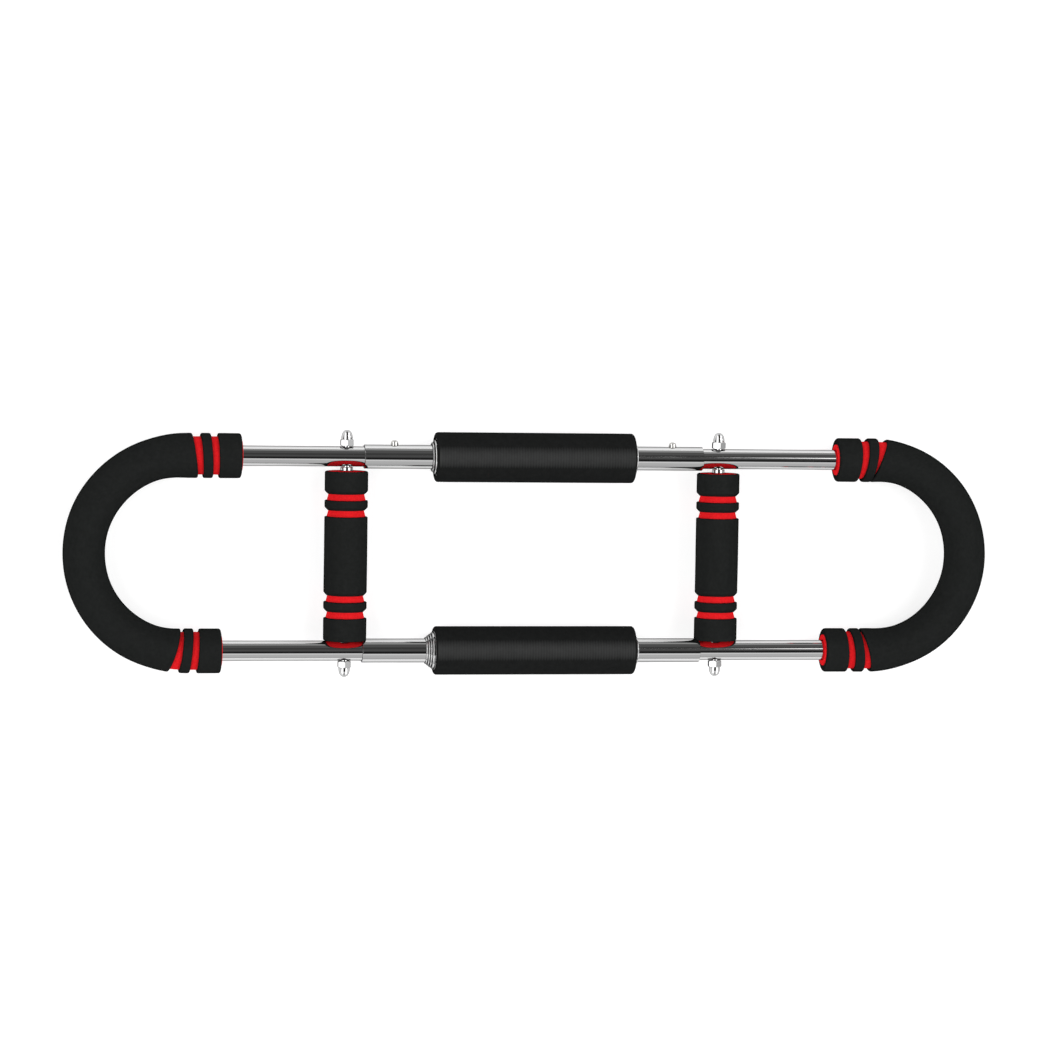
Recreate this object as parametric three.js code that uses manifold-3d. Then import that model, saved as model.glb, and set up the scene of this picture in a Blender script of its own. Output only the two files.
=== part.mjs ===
// A two-spring arm exerciser: two U-shaped tube handles plug into short sleeves, which hold a pair of
// heavy coil springs under foam pads, and two cross handles bridge the tubes.
// Millimetres. X runs along the springs, Y across them, and Z up from the surface the pads lie on.
import * as THREE from 'three';
import { mergeVertices } from 'three/addons/utils/BufferGeometryUtils.js';
import Module from 'manifold-3d';

const wasm = await Module();
wasm.setup();

// ---------------------------------------------------------------- driving dimensions
const tubeSpacing = 154; // between the two tube axes, and so twice the bend's radius
const bendCentre = 279.3; // X of the centre of each U bend
const touch = 0.3; // gap between pieces that touch
const slip = 0.3; // gap round a piece that slides or passes through another

const tubeDiameter = 16;
const tubeWall = 1.5;
const tubeInnerEnd = 96; // X where the U tube stops inside its sleeve

const sleeveWall = 1.2;
const sleeveOuterEnd = 136.5;
const sleeveInSpring = 10; // how far each sleeve reaches into the spring past its collar

const springWire = 5;
const springTurnGap = 0.5; // between one turn of the coil and the next
const springOverSleeve = 1; // gap between the sleeve and the coil round it

const collarFace = 81; // X of each flange's outer face, near the end of its pad
const collarFlangeLength = 5;
const collarConeLength = 4.8;
const collarRings = 3; // rings that climb from the sleeve to the flange
const collarInPad = 0.5; // gap between the flange and the pad's bore

const padLength = { upper: 160, lower: 162 };
const padWall = 3.75;
const padRounding = 3;
const padOverSpring = 0.5; // gap between the coil and the pad's bore
const padShift = { upper: 0.4, lower: 2.1 }; // how far each pad has slid along its spring

const gripCentre = 150.2; // X of each cross handle
const spindleDiameter = 10;
const studDiameter = 6;
const nutAcrossFlats = 10;
const nutHexHeight = 5.2;
const nutHeight = 12.6;
const nutDomeDiameter = 9.5;
const studInNut = 8.5; // how far the stud reaches into its nut

const foamSkin = 2.4; // thickness of the black skin over the red core
const gripFoamDiameter = 34.3;
const gripPlay = 1.7; // free spindle at the +Y end: the foam has slid until it touches the -Y sleeve
const handleFoamDiameter = 34.4;
const handleFoamLength = { left: 318, right: 313.6 }; // as stretched over its tube
const handleFoamShift = { left: 7.3, right: -3.8 }; // how far the foam has slid towards its +Y leg
const endBand = 18; // black band at each end of a foam
const groove = 5.1; // each red groove
const ringBand = 7.8; // black band between two grooves
const skinGap = 0.15; // between a skin and the core it is bonded to
const skinChamfer = 2;

const buttonCentre = 112.3; // X of each snap button
const buttonDiameter = 6;
const buttonProud = 3.5; // above the sleeve
const buttonFootHeight = 1;
const buttonFootLip = 0.6; // how far the foot stands out round the button, to hold it in
const leafThickness = 0.8;
const leafWidth = 6;
const leafLength = 30;

// Facets round the pieces that nest along the U bend. Two that touch share a count, so that they nest.
const boreFacets = 10; // inside the U tube
const tubeFacets = 14; // outside of the U tube, and the foam's bore over it
const foamFacets = 16; // outside of the foam's core, and its skins

// ---------------------------------------------------------------- derived sizes
const axisY = tubeSpacing / 2;
const tubeRadius = tubeDiameter / 2;
const tubeBore = tubeRadius - tubeWall;
const sleeveBore = tubeRadius + slip;
const sleeveRadius = sleeveBore + sleeveWall;
const coilRadius = sleeveRadius + springOverSleeve + springWire / 2;
const springPitch = springWire + springTurnGap;
const padBore = coilRadius + springWire / 2 + padOverSpring;
const padRadius = padBore + padWall;
const axisZ = Math.max(padRadius, gripFoamDiameter / 2, handleFoamDiameter / 2);
const collarRadius = padBore - collarInPad;
const collarInnerEnd = collarFace - collarFlangeLength;
const collarOuterEnd = collarFace + collarConeLength;
const sleeveInnerEnd = collarInnerEnd - sleeveInSpring;
// Each half of the free spring bends at three places: the middles of three equal stretches.
const springHinges = [1, 3, 5].map((sixths) => (sixths * sleeveInnerEnd) / 6);
const bendHalf = (Math.PI / 2) * axisY; // from the middle of a bend to its end, along the tube
const foamBoreOverTube = tubeRadius + slip;
const spindleHalf = axisY - tubeRadius - touch; // from the middle of a cross handle to the tube's side
const gripRoom = axisY - sleeveRadius - touch; // from the middle of a cross handle to the sleeve's side
const gripFoamLength = 2 * gripRoom - gripPlay;
const gripFoamShift = gripFoamLength / 2 - gripRoom;
const studRadius = studDiameter / 2;
const studHole = studRadius + slip;
const buttonHole = buttonDiameter / 2 + slip;
const buttonFootRadius = buttonDiameter / 2 + buttonFootLip;
const footRoom = tubeBore - 1.5 * slip; // the radius that the foot keeps within, inside the tube
const buttonFootTop = Math.sqrt(footRoom ** 2 - buttonFootRadius ** 2);
const buttonFootBottom = buttonFootTop - buttonFootHeight;
const leafHalfOpening = buttonFootBottom - touch; // from the tube's axis to the leaf's outer face
const sides = { left: -1, right: 1 };
const rows = { upper: 1, lower: -1 };

// ---------------------------------------------------------------- finishes
const finish = (color, roughness, metalness) => new THREE.MeshStandardMaterial({ color, roughness, metalness });
const finishes = {
  chrome: finish(0xc9ccd0, 0.12, 1),
  springSteel: finish(0x6f7276, 0.4, 1),
  blackFoam: finish(0x1e2021, 0.85, 0),
  redFoam: finish(0xc4121a, 0.8, 0),
  padRubber: finish(0x1a1b1c, 0.6, 0),
  buttonSteel: finish(0xb2b2b0, 0.3, 1),
};

// ---------------------------------------------------------------- shape helpers
/** A closed mesh as a solid that can be joined and cut. */
function solidOf(geometry) {
  const bare = geometry.clone();
  bare.deleteAttribute('normal');
  bare.deleteAttribute('uv');
  const merged = mergeVertices(bare, 1e-4);
  const corners = merged.index.array;
  const kept = [];
  for (let i = 0; i < corners.length; i += 3) {
    const [a, b, c] = [corners[i], corners[i + 1], corners[i + 2]];
    if (a !== b && b !== c && a !== c) kept.push(a, b, c);
  }
  const vertProperties = new Float32Array(merged.attributes.position.array);
  return new wasm.Manifold(new wasm.Mesh({ numProp: 3, vertProperties, triVerts: new Uint32Array(kept) }));
}

function geometryOf(solid) {
  const mesh = solid.getMesh();
  const geometry = new THREE.BufferGeometry();
  geometry.setAttribute('position', new THREE.BufferAttribute(new Float32Array(mesh.vertProperties), 3));
  geometry.setIndex(new THREE.BufferAttribute(new Uint32Array(mesh.triVerts), 1));
  geometry.computeVertexNormals();
  return geometry;
}

/** A piece of the given geometry with the given cutters taken out of it. */
function cut(geometry, cutters) {
  return geometryOf(cutters.reduce((solid, cutter) => solid.subtract(solidOf(cutter)), solidOf(geometry)));
}

/** Turns a profile of [place along the axis, radius] points round Y. The profile runs towards +Y outside. */
function turned(profile, facets = 20) {
  const points = profile.map(([along, radius]) => new THREE.Vector2(radius, along));
  return new THREE.LatheGeometry(points, facets);
}

const alongX = (geometry) => geometry.rotateZ(-Math.PI / 2);
const closed = (profile) => [...profile, profile[0]];

/** A plain bar round Y, from one place to another. */
function bar(from, to, radius, facets = 16) {
  return turned([[from, 0], [from, radius], [to, radius], [to, 0]], facets);
}

/** The profile of a ring round Y with an optional chamfer on each outer edge. */
function ringProfile(from, to, bore, radius, chamferFrom = 0, chamferTo = 0) {
  const outline = [[from, bore]];
  outline.push([from, radius - chamferFrom]);
  if (chamferFrom > 0) outline.push([from + chamferFrom, radius]);
  if (chamferTo > 0) outline.push([to - chamferTo, radius]);
  outline.push([to, radius - chamferTo]);
  outline.push([to, bore]);
  return closed(outline);
}

function circle(radius, points) {
  return Array.from({ length: points }, (_, i) => {
    const angle = (i / points) * 2 * Math.PI;
    return new THREE.Vector2(radius * Math.cos(angle), radius * Math.sin(angle));
  });
}

// ---------------------------------------------------------------- the U handle's centre line
const bendSteps = 10;
const bendStops = Array.from({ length: bendSteps + 1 }, (_, i) => bendHalf * ((2 * i) / bendSteps - 1));

/** A place on the bend's true curve, by distance from its middle. */
function onBend(side, along) {
  const angle = along / axisY;
  return new THREE.Vector3(side * (bendCentre + axisY * Math.cos(angle)), axisY * Math.sin(angle), 0);
}

/**
 * A stretch of a U tube's centre line, by distance from the middle of its bend; positive is towards +Y.
 * The bend is the same run of short straight steps for every piece, so that tube, core and skins nest.
 */
class HandleLine extends THREE.Curve {
  constructor(side, from, to) {
    super();
    this.side = side;
    // Two rings on the bend that are closer than this could cross. An end with a stop just outside it is
    // drawn clear of that stop, and an end with one just inside it moves onto that stop.
    const clear = 3;
    const passed = bendStops.find((stop) => stop < from && stop > from - clear && from < bendHalf);
    const ahead = bendStops.find((stop) => stop > to && stop < to + clear && to > -bendHalf);
    const start = passed === undefined ? from : passed + clear;
    const end = ahead === undefined ? to : ahead - clear;
    const inside = bendStops.filter((stop) => stop > start && stop < end);
    const first = inside.find((stop) => stop < start + clear) ?? start;
    const last = inside.findLast((stop) => stop > end - clear) ?? end;
    this.stops = [first, ...inside.filter((stop) => stop > first && stop < last), last];
  }

  get steps() {
    return this.stops.length - 1;
  }

  alongAt(t) {
    const place = t * this.steps;
    const before = Math.min(Math.floor(place), this.steps - 1);
    return THREE.MathUtils.lerp(this.stops[before], this.stops[before + 1], place - before);
  }

  getPoint(t, target = new THREE.Vector3()) {
    const along = this.alongAt(t);
    const past = Math.abs(along) - bendHalf;
    if (past > 0) return target.set(this.side * (bendCentre - past), Math.sign(along) * axisY, 0);
    const step = Math.min(Math.floor(((along / bendHalf + 1) / 2) * bendSteps), bendSteps - 1);
    const [from, to] = [bendStops[step], bendStops[step + 1]];
    return target.lerpVectors(onBend(this.side, from), onBend(this.side, to), (along - from) / (to - from));
  }

  // At a stop this is the true curve's direction, so that a band that ends there shares the core's ring.
  getTangent(t, target = new THREE.Vector3()) {
    const along = this.alongAt(t);
    const onStop = bendStops.some((stop) => Math.abs(stop - along) < 1e-6);
    if (!onStop) return super.getTangent(t, target);
    const angle = along / axisY;
    return target.set(-this.side * Math.sin(angle), Math.cos(angle), 0);
  }

  // Steps fall on the stops, so that a straight leg is one step long.
  getUtoTmapping(u) {
    return u;
  }
}

/** A hollow tube along a stretch of the handle. */
function tubeAlong(line, bore, radius, borePoints, outerPoints) {
  const section = new THREE.Shape(circle(radius, outerPoints));
  section.holes.push(new THREE.Path(circle(bore, borePoints)));
  return new THREE.ExtrudeGeometry(section, { steps: line.steps, extrudePath: line });
}

// ---------------------------------------------------------------- assembly
const model = new THREE.Group();

function add(name, geometry, material, x = 0, y = 0, z = axisZ) {
  const mesh = new THREE.Mesh(geometry, material);
  mesh.name = name;
  mesh.position.set(x, y, z);
  model.add(mesh);
  return mesh;
}

/** The places of the black bands of a foam, measured from its middle: [name, from, to]. */
function bandsOf(length) {
  const half = length / 2;
  const ringStart = half - endBand - groove;
  const mainEnd = ringStart - ringBand - groove;
  return [
    ['lower_end', -half, -half + endBand],
    ['lower_ring', -ringStart, -ringStart + ringBand],
    ['middle', -mainEnd, mainEnd],
    ['upper_ring', ringStart - ringBand, ringStart],
    ['upper_end', half - endBand, half],
  ];
}

// ---------------------------------------------------------------- U tubes and their foam
function uTube(side) {
  const legEnd = bendHalf + bendCentre - tubeInnerEnd;
  const tube = tubeAlong(new HandleLine(side, -legEnd, legEnd), tubeBore, tubeRadius, boreFacets, tubeFacets);
  const acrossY = axisY + tubeDiameter;
  const studHoles = bar(-acrossY, acrossY, studHole, 12).translate(side * gripCentre, 0, 0);
  const buttonHoles = bar(axisY, acrossY, buttonHole, 12).translate(side * buttonCentre, 0, 0);
  return cut(tube, [studHoles, buttonHoles]);
}

for (const [name, side] of Object.entries(sides)) {
  add(`${name}_u_tube`, uTube(side), finishes.chrome);

  const shift = handleFoamShift[name];
  const coreRadius = handleFoamDiameter / 2 - foamSkin;
  const half = handleFoamLength[name] / 2;
  const coreLine = new HandleLine(side, shift - half, shift + half);
  const core = tubeAlong(coreLine, foamBoreOverTube, coreRadius - skinGap, tubeFacets, foamFacets);
  add(`${name}_handle_foam_core`, core, finishes.redFoam);
  for (const [band, from, to] of bandsOf(handleFoamLength[name])) {
    const line = new HandleLine(side, shift + from, shift + to);
    const skin = tubeAlong(line, coreRadius, handleFoamDiameter / 2, foamFacets, foamFacets);
    add(`${name}_handle_foam_${band}`, skin, finishes.blackFoam);
  }
}

// ---------------------------------------------------------------- cross handles
/** A bar between the tubes, with a thinner stud at each end that passes through the tube into a nut. */
function spindle() {
  const studEnd = axisY + tubeRadius + studInNut;
  const radius = spindleDiameter / 2;
  const profile = [
    [-studEnd, 0], [-studEnd, studRadius], [-spindleHalf, studRadius], [-spindleHalf, radius],
    [spindleHalf, radius], [spindleHalf, studRadius], [studEnd, studRadius], [studEnd, 0],
  ];
  return turned(profile, 14);
}

/** A domed cap nut standing on +Y, with its blind thread hole open at the base. */
function acornNut() {
  const hex = new THREE.CylinderGeometry(1, 1, nutHexHeight, 6).translate(0, nutHexHeight / 2, 0);
  const cornerRadius = nutAcrossFlats / 2 / Math.cos(Math.PI / 6);
  hex.scale(cornerRadius, 1, cornerRadius);
  const domeRadius = nutDomeDiameter / 2;
  const shoulder = nutHeight - domeRadius;
  const domeSteps = 5;
  const dome = [[nutHexHeight / 2, 0], [nutHexHeight / 2, domeRadius], [shoulder, domeRadius]];
  for (let i = 1; i < domeSteps; i += 1) {
    const angle = (i / domeSteps) * (Math.PI / 2);
    dome.push([shoulder + domeRadius * Math.sin(angle), domeRadius * Math.cos(angle)]);
  }
  dome.push([nutHeight, 0]);
  const threadHole = bar(-1, studInNut + touch, studHole, 12);
  const body = solidOf(hex).add(solidOf(turned(dome, 16)));
  return geometryOf(body.subtract(solidOf(threadHole)));
}

for (const [name, side] of Object.entries(sides)) {
  const x = side * gripCentre;
  add(`${name}_grip_spindle`, spindle(), finishes.chrome, x);
  for (const [row, way] of Object.entries(rows)) {
    const nut = way > 0 ? acornNut() : acornNut().rotateZ(Math.PI);
    add(`${name}_${row}_acorn_nut`, nut, finishes.chrome, x, way * (axisY + tubeRadius + touch));
  }

  const coreRadius = gripFoamDiameter / 2 - foamSkin;
  const half = gripFoamLength / 2;
  const core = turned(ringProfile(-half, half, spindleDiameter / 2 + slip, coreRadius - skinGap), foamFacets);
  add(`${name}_grip_foam_core`, core, finishes.redFoam, x, gripFoamShift);
  for (const [band, from, to] of bandsOf(gripFoamLength)) {
    const skin = ringProfile(from, to, coreRadius, gripFoamDiameter / 2, skinChamfer, 0);
    add(`${name}_grip_foam_${band}`, turned(skin, foamFacets), finishes.blackFoam, x, gripFoamShift);
  }
}

// ---------------------------------------------------------------- sleeves, collars and snap buttons
function sleeve(side, hasButton) {
  const [from, to] = [side * sleeveInnerEnd, side * sleeveOuterEnd].sort((a, b) => a - b);
  const tube = alongX(turned(ringProfile(from, to, sleeveBore, sleeveRadius), 16));
  if (!hasButton) return tube;
  const hole = bar(0, tubeDiameter, buttonHole, 12).translate(side * buttonCentre, 0, 0);
  return cut(tube, [hole]);
}

/** A stepped ring that closes the pad's end round the sleeve, its small end facing +Y before it is placed. */
function collar() {
  const bore = sleeveRadius + slip;
  const rise = (collarRadius - sleeveRadius) / (collarRings + 1);
  const ringLength = collarConeLength / collarRings;
  const outline = [[collarInnerEnd, bore], [collarInnerEnd, collarRadius], [collarFace, collarRadius]];
  for (let i = 1; i <= collarRings; i += 1) {
    const radius = collarRadius - i * rise;
    outline.push([collarFace + (i - 1) * ringLength, radius]);
    outline.push([collarFace + i * ringLength, radius]);
  }
  outline.push([collarOuterEnd, bore]);
  return turned(closed(outline), 16);
}

/** A domed snap button on a wider foot, standing on +Y from the tube's axis. */
function snapButton() {
  const top = sleeveRadius + buttonProud;
  const radius = buttonDiameter / 2;
  const shoulder = top - radius * 0.7;
  return turned([
    [buttonFootBottom, 0], [buttonFootBottom, buttonFootRadius],
    [buttonFootTop, buttonFootRadius], [buttonFootTop, radius],
    [shoulder, radius], [shoulder + radius * 0.45, radius * 0.8],
    [top, radius * 0.3], [top, 0],
  ], 16);
}

/** The hairpin spring inside the tube that pushes the button out; its bend is at -X of its middle. */
function leafSpring() {
  const outer = leafHalfOpening;
  const inner = outer - leafThickness;
  const straight = leafLength - outer;
  const outline = new THREE.Shape();
  outline.moveTo(straight, outer);
  outline.lineTo(0, outer);
  outline.absarc(0, 0, outer, Math.PI / 2, Math.PI * 1.5, false);
  outline.lineTo(straight, -outer);
  outline.lineTo(straight, -inner);
  outline.lineTo(0, -inner);
  outline.absarc(0, 0, inner, Math.PI * 1.5, Math.PI / 2, true);
  outline.lineTo(straight, inner);
  const settings = { depth: leafWidth, bevelEnabled: false, curveSegments: 8 };
  return new THREE.ExtrudeGeometry(outline, settings).translate(-straight / 2, 0, -leafWidth / 2);
}

for (const [name, side] of Object.entries(sides)) {
  for (const [row, way] of Object.entries(rows)) {
    const y = way * axisY;
    add(`${name}_${row}_sleeve`, sleeve(side, row === 'upper'), finishes.chrome, 0, y);
    const ring = side > 0 ? alongX(collar()) : alongX(collar()).rotateZ(Math.PI);
    add(`${name}_${row}_collar`, ring, finishes.chrome, 0, y);
  }
  add(`${name}_snap_button`, snapButton(), finishes.buttonSteel, side * buttonCentre, axisY);
  const leaf = side > 0 ? leafSpring() : leafSpring().rotateZ(Math.PI);
  add(`${name}_button_leaf_spring`, leaf, finishes.springSteel, side * (buttonCentre + 1), axisY);
}

// ---------------------------------------------------------------- springs and pads
/** A stretch of a coil spring's wire, between two places along X. */
class CoilLine extends THREE.Curve {
  constructor(from, to) {
    super();
    this.from = from;
    this.to = to;
  }

  getPoint(t, target = new THREE.Vector3()) {
    const along = THREE.MathUtils.lerp(this.from, this.to, t);
    const angle = (along / springPitch) * 2 * Math.PI;
    return target.set(along, coilRadius * Math.cos(angle), coilRadius * Math.sin(angle));
  }

  getUtoTmapping(u) {
    return u;
  }
}

function coil(from, to) {
  const stepsPerTurn = 10;
  const line = new CoilLine(from, to);
  const steps = Math.ceil((Math.abs(to - from) / springPitch) * stepsPerTurn);
  const wire = new THREE.Shape(circle(springWire / 2, 5));
  return new THREE.ExtrudeGeometry(wire, { steps, extrudePath: line });
}

const wireGap = (touch * springPitch) / (2 * Math.PI * coilRadius); // the gap along the wire, measured along X
const coilEnd = collarInnerEnd - touch - springWire / 2;
const coilPlaces = [
  ['left_arm', -coilEnd, -springHinges[2]],
  ['left_outer', -springHinges[2], -springHinges[1]],
  ['left_inner', -springHinges[1], -springHinges[0]],
  ['middle', -springHinges[0], springHinges[0]],
  ['right_inner', springHinges[0], springHinges[1]],
  ['right_outer', springHinges[1], springHinges[2]],
  ['right_arm', springHinges[2], coilEnd],
];

/** A foam pad: a ring with rounded ends and a flat on the underside that it lies on. */
function pad(length) {
  const facets = 24;
  const toCorner = 1 / Math.cos(Math.PI / facets);
  const half = length / 2;
  const rounding = Math.min(padRounding, 0.9 * padWall);
  const rim = padRadius - rounding;
  const halfway = rounding * (1 - Math.SQRT1_2);
  const profile = [
    [-half, padBore], [-half, rim], [-half + halfway, padRadius - halfway], [-half + rounding, padRadius],
    [half - rounding, padRadius], [half - halfway, padRadius - halfway], [half, rim], [half, padBore],
  ];
  const corners = profile.map(([along, r]) => [along, r === padBore ? r : r * toCorner]);
  return alongX(turned(closed(corners), facets).rotateY(Math.PI / facets));
}

for (const [row, way] of Object.entries(rows)) {
  for (const [place, from, to] of coilPlaces) {
    const stretch = coil(from + wireGap / 2, to - wireGap / 2);
    add(`${row}_spring_${place}`, stretch, finishes.springSteel, 0, way * axisY);
  }
  add(`${row}_pad`, pad(padLength[row]), finishes.padRubber, padShift[row], way * axisY);
}

export default model;
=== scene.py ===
import math

import bmesh
import bpy
import numpy as np
from mathutils import Matrix, Vector


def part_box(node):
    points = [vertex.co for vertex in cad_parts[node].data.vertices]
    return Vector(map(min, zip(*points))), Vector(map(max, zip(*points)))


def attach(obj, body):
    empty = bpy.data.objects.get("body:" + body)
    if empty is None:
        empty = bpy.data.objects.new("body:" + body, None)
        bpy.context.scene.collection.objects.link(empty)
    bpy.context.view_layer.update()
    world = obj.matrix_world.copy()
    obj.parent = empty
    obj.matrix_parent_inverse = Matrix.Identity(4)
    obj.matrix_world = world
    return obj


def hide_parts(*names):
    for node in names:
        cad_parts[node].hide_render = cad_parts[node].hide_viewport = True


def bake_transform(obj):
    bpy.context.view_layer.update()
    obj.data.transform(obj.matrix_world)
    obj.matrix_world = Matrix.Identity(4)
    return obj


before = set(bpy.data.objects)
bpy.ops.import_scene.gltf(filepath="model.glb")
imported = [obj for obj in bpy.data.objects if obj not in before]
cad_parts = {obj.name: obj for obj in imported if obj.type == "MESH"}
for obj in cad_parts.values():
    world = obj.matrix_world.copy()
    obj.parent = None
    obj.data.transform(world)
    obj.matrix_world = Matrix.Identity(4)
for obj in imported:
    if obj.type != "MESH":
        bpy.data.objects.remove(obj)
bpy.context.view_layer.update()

mm = 0.001
X, Y, Z = range(3)
ways = {"left": -1, "right": 1}
rows = {"upper": 1, "lower": -1}


def span(node, axis):
    """The lowest and the highest place of a CAD node along an axis."""
    lo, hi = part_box(node)
    return lo[axis], hi[axis]


def middle(node, axis):
    return sum(span(node, axis)) / 2


def half_size(node, axis):
    lo, hi = span(node, axis)
    return (hi - lo) / 2


# ---------------------------------------------------------------- sizes that the CAD model gives
axis_y = middle("right_upper_sleeve", Y)
axis_z = middle("right_upper_sleeve", Z)
sleeve_from, sleeve_to = span("right_upper_sleeve", X)
sleeve_radius = half_size("right_upper_sleeve", Y)
tube_from = span("right_u_tube", X)[0]
foam_radius = half_size("right_handle_foam_upper_end", Y)
bend_centre = span("right_handle_foam_middle", X)[1] - axis_y - foam_radius
bend_half = math.pi / 2 * axis_y
grip_x = middle("right_grip_spindle", X)
grip_radius = half_size("right_grip_foam_middle", X)
grip_top = span("right_grip_foam_upper_end", Y)[1]
collar_from, collar_to = span("right_upper_collar", X)
collar_radius = half_size("right_upper_collar", Y)
nut_base, nut_top = span("right_upper_acorn_nut", Y)
nut_flat = half_size("right_upper_acorn_nut", X)
button_x = middle("right_snap_button", X)
button_foot, button_top = span("right_snap_button", Y)

# ---------------------------------------------------------------- sizes that the nodes' boxes do not give
slip = 0.3 * mm
touch = 0.15 * mm
tube_radius = 8 * mm
tube_bore = 6.5 * mm
sleeve_bore = tube_radius + slip
stud_radius = 3 * mm
spindle_radius = 5 * mm
stud_in_nut = 8.5 * mm
foam_bore = tube_radius + slip
foam_skin = 2.4 * mm
end_band = 18 * mm
groove = 5.1 * mm
ring_band = 7.8 * mm
coil_radius = 13 * mm
wire_radius = 2.5 * mm
spring_pitch = 5.5 * mm
pad_bore = 16 * mm
rib_pitch = 2.2 * mm
rib_height = 0.06 * mm
hinge_gap = 22 * mm  # between one hinge of the spring and the next
button_radius = 3 * mm
button_hole = button_radius + slip
leaf_thickness = 0.8 * mm


# ---------------------------------------------------------------- lines that bodies are turned round
def along_x(y, way=1):
    """A straight line along X. Angle 0 faces +Y."""

    def place(along, radius, angle):
        along, radius, angle = np.broadcast_arrays(along, radius, angle)
        return np.stack([way * along, y + radius * np.cos(angle), axis_z + radius * np.sin(angle)], 1)

    return place


def along_y(x, way=1):
    """A straight line along Y. Angle 0 faces +X."""

    def place(along, radius, angle):
        along, radius, angle = np.broadcast_arrays(along, radius, angle)
        return np.stack([x + radius * np.cos(angle), way * along, axis_z + radius * np.sin(angle)], 1)

    return place


def along_handle(way):
    """A U tube's centre line, by distance from the middle of its bend towards +Y.
    Angle 0 faces out of the bend."""

    def place(along, radius, angle):
        along, radius, angle = np.broadcast_arrays(along, radius, angle)
        turn = np.clip(along, -bend_half, bend_half) / axis_y
        past = along - turn * axis_y
        reach = axis_y + radius * np.cos(angle)
        x = bend_centre + reach * np.cos(turn) - past * np.sin(turn)
        y = reach * np.sin(turn) + past * np.cos(turn)
        return np.stack([way * x, y, axis_z + radius * np.sin(angle)], 1)

    return place


# ---------------------------------------------------------------- mesh helpers
def body_of_faces(name, points, faces, sharp=35):
    """A closed mesh with its faces out, smooth but for edges sharper than an angle in degrees."""
    mesh = bpy.data.meshes.new(name)
    mesh.from_pydata([tuple(p) for p in points], [], faces)
    check = bmesh.new()
    check.from_mesh(mesh)
    if check.calc_volume(signed=True) < 0:
        mesh.flip_normals()
    check.free()
    mesh.shade_smooth()
    mesh.set_sharp_from_angle(angle=math.radians(sharp))
    obj = bpy.data.objects.new(name, mesh)
    bpy.context.scene.collection.objects.link(obj)
    return obj


def rounded(corners, steps=4):
    """A closed outline with its corners rounded. Each corner is (along, radius, rounding)."""
    outline = []
    for i, (along, radius, rounding) in enumerate(corners):
        if not rounding:
            outline.append((along, radius))
            continue
        arms = []
        for other in (corners[i - 1], corners[(i + 1) % len(corners)]):
            aside = other[0] - along
            out = other[1] - radius
            length = np.hypot(aside, out)
            arms.append((along + aside / length * rounding, radius + out / length * rounding))
        for k in range(steps + 1):
            t = k / steps
            a, b, c = (1 - t) ** 2, 2 * t * (1 - t), t ** 2
            outline.append(tuple(a * arms[0][n] + b * (along, radius)[n] + c * arms[1][n] for n in (0, 1)))
    return outline


def filled(outline, step, closed=True):
    """The outline with points added, so that none is further than a step from the next."""
    more = []
    following = outline[1:] + (outline[:1] if closed else [])
    for here, there in zip(outline, following):
        reach = np.max(np.hypot(there[0] - here[0], there[1] - here[1]))
        count = max(1, math.ceil(reach / step))
        for k in range(count):
            t = k / count
            more.append(tuple(here[n] + (there[n] - here[n]) * t for n in (0, 1)))
    return more if closed else more + outline[-1:]


def facet_angles(facets):
    return np.arange(facets) / facets * 2 * math.pi


def turned(name, outline, line, facets=64, sharp=35):
    """A body with its outline turned round a line. The outline is closed, or it starts and ends on the
    line. A place in it is (along, radius), and each may be an array with a number for each facet."""
    closed = np.max(outline[0][1]) > 0
    angles = facet_angles(facets)
    points = []
    rings = []
    for along, radius in outline:
        count = facets if np.max(radius) > 0 else 1
        ring = line(along, radius, angles if count > 1 else np.zeros(1))
        rings.append([len(points) + j % count for j in range(facets)])
        points.extend(ring)
    pairs = list(zip(rings, rings[1:]))
    if closed:
        pairs.append((rings[-1], rings[0]))
    faces = []
    for here, there in pairs:
        for j in range(facets):
            k = (j + 1) % facets
            faces.append(list(dict.fromkeys([here[j], here[k], there[k], there[j]])))
    return body_of_faces(name, points, faces, sharp)


def drilled(tube, holes):
    """Cuts holes through a tube. Each hole is a body that is used up."""
    for hole in holes:
        cut = tube.modifiers.new("hole", "BOOLEAN")
        cut.operation = "DIFFERENCE"
        cut.solver = "EXACT"
        cut.object = hole
    graph = bpy.context.evaluated_depsgraph_get()
    plain = tube.data
    tube.data = bpy.data.meshes.new_from_object(tube.evaluated_get(graph))
    tube.data.name = tube.name
    tube.modifiers.clear()
    bpy.data.meshes.remove(plain)
    for hole in holes:
        bpy.data.objects.remove(hole)
    return tube


def shade_as_tube(tube, centre_of):
    """Gives a tube's walls exactly round normals. centre_of turns points into the nearest points of the
    tube's line."""
    mesh = tube.data
    points = np.array([v.co for v in mesh.vertices], float)
    corners = np.array([loop.vertex_index for loop in mesh.loops])
    sizes = [face.loop_total for face in mesh.polygons]
    flat = np.repeat(np.array([face.normal for face in mesh.polygons], float), sizes, axis=0)
    out = points - centre_of(points)
    out /= np.linalg.norm(out, axis=1)[:, None]
    out = out[corners]
    facing = (flat * out).sum(1)
    round_enough = 0.94
    normals = np.where((np.abs(facing) > round_enough)[:, None], out * np.sign(facing)[:, None], flat)
    mesh.normals_split_custom_set([tuple(n) for n in normals])
    return tube


def centre_along_x(y):
    """The nearest points of a line along X."""
    return lambda points: np.stack([points[:, X], np.full(len(points), y), np.full(len(points), axis_z)], 1)


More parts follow.
